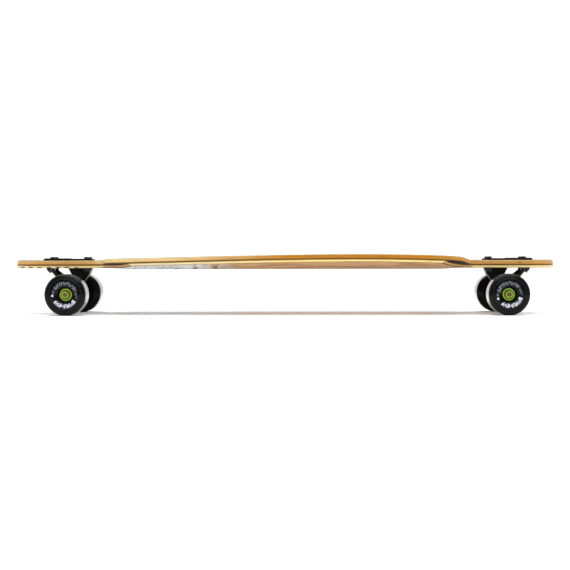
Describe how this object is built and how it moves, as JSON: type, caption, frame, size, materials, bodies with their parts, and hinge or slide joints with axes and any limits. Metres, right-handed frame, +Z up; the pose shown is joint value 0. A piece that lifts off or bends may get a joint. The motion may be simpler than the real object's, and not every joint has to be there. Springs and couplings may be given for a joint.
{
  "type": "drop-through longboard",
  "caption": "Unpowered longboard: concave wooden deck, trucks dropped through its flat ends, black wheels on sealed ball bearings.",
  "frame": {"origin": "on the ground under the middle of the board", "axes": "+X along the board to its front, +Y to its left, +Z up"},
  "size_m": [1.0026, 0.258, 0.1106],
  "materials": {
    "deck_wood": "clear-coated laminated veneer",
    "grip_tape": "abrasive black sheet",
    "truck_casting": "black powder coat",
    "black_bolt": "black oxide",
    "steel": "zinc plated",
    "axle_steel": "ground",
    "axle_nut": "yellow zinc plated",
    "pivot_cup": "moulded",
    "bushing": "cast urethane",
    "urethane": "glossy black urethane",
    "wheel_core": "moulded",
    "bearing_steel": "polished",
    "bearing_ring": "ground",
    "bearing_cage": "moulded",
    "bearing_shield": "green seal"
  },
  "bodies": {
    "deck": {"deck": "deck_wood", "grip_tape": "grip_tape", "front_baseplate": "truck_casting", "front_mounting_bolts": "black_bolt", "front_mounting_nuts": "black_bolt", "front_kingpin": "steel", "front_kingpin_nut": "steel", "front_pivot_cup": "pivot_cup", "front_boardside_bushing": "bushing", "front_roadside_bushing": "bushing", "front_boardside_washer": "steel", "front_roadside_washer": "steel", "rear_baseplate": "truck_casting", "rear_mounting_bolts": "black_bolt", "rear_mounting_nuts": "black_bolt", "rear_kingpin": "steel", "rear_kingpin_nut": "steel", "rear_pivot_cup": "pivot_cup", "rear_boardside_bushing": "bushing", "rear_roadside_bushing": "bushing", "rear_boardside_washer": "steel", "rear_roadside_washer": "steel"},
    "front_hanger": {"front_hanger": "truck_casting", "front_axle": "axle_steel", "front_axle_nuts": "axle_nut", "front_speed_washers": "steel", "front_bearing_inner_rings": "bearing_steel", "front_bearing_spacers": "steel"},
    "rear_hanger": {"rear_hanger": "truck_casting", "rear_axle": "axle_steel", "rear_axle_nuts": "axle_nut", "rear_speed_washers": "steel", "rear_bearing_inner_rings": "bearing_steel", "rear_bearing_spacers": "steel"},
    "front_left_wheel": {"front_left_tyre": "urethane", "front_left_core": "wheel_core", "front_left_bearing_outer_rings": "bearing_ring", "front_left_bearing_balls": "bearing_steel", "front_left_bearing_cages": "bearing_cage", "front_left_bearing_shields": "bearing_shield"},
    "front_right_wheel": {"front_right_tyre": "urethane", "front_right_core": "wheel_core", "front_right_bearing_outer_rings": "bearing_ring", "front_right_bearing_balls": "bearing_steel", "front_right_bearing_cages": "bearing_cage", "front_right_bearing_shields": "bearing_shield"},
    "rear_left_wheel": {"rear_left_tyre": "urethane", "rear_left_core": "wheel_core", "rear_left_bearing_outer_rings": "bearing_ring", "rear_left_bearing_balls": "bearing_steel", "rear_left_bearing_cages": "bearing_cage", "rear_left_bearing_shields": "bearing_shield"},
    "rear_right_wheel": {"rear_right_tyre": "urethane", "rear_right_core": "wheel_core", "rear_right_bearing_outer_rings": "bearing_ring", "rear_right_bearing_balls": "bearing_steel", "rear_right_bearing_cages": "bearing_cage", "rear_right_bearing_shields": "bearing_shield"}
  },
  "joints": [
    {"name": "front_steering", "type": "hinge", "parent": "deck", "child": "front_hanger", "pos_m": [0.4159, 0, 0.05245], "axis": [0.7071, 0, 0.7071], "range_deg": [-15, 15], "stiffness_Nm_per_rad": 35, "deforming": ["front_boardside_bushing", "front_roadside_bushing"]},
    {"name": "rear_steering", "type": "hinge", "parent": "deck", "child": "rear_hanger", "pos_m": [-0.404, 0, 0.05245], "axis": [-0.7071, 0, 0.7071], "range_deg": [-15, 15], "stiffness_Nm_per_rad": 35, "deforming": ["rear_boardside_bushing", "rear_roadside_bushing"]},
    {"name": "front_left_wheel_spin", "type": "hinge", "parent": "front_hanger", "child": "front_left_wheel", "pos_m": [0.40545, 0, 0.0375], "axis": [0, 1, 0], "continuous": true},
    {"name": "front_right_wheel_spin", "type": "hinge", "parent": "front_hanger", "child": "front_right_wheel", "pos_m": [0.40545, 0, 0.0375], "axis": [0, 1, 0], "continuous": true},
    {"name": "rear_left_wheel_spin", "type": "hinge", "parent": "rear_hanger", "child": "rear_left_wheel", "pos_m": [-0.39355, 0, 0.0375], "axis": [0, 1, 0], "continuous": true},
    {"name": "rear_right_wheel_spin", "type": "hinge", "parent": "rear_hanger", "child": "rear_right_wheel", "pos_m": [-0.39355, 0, 0.0375], "axis": [0, 1, 0], "continuous": true}
  ]
}
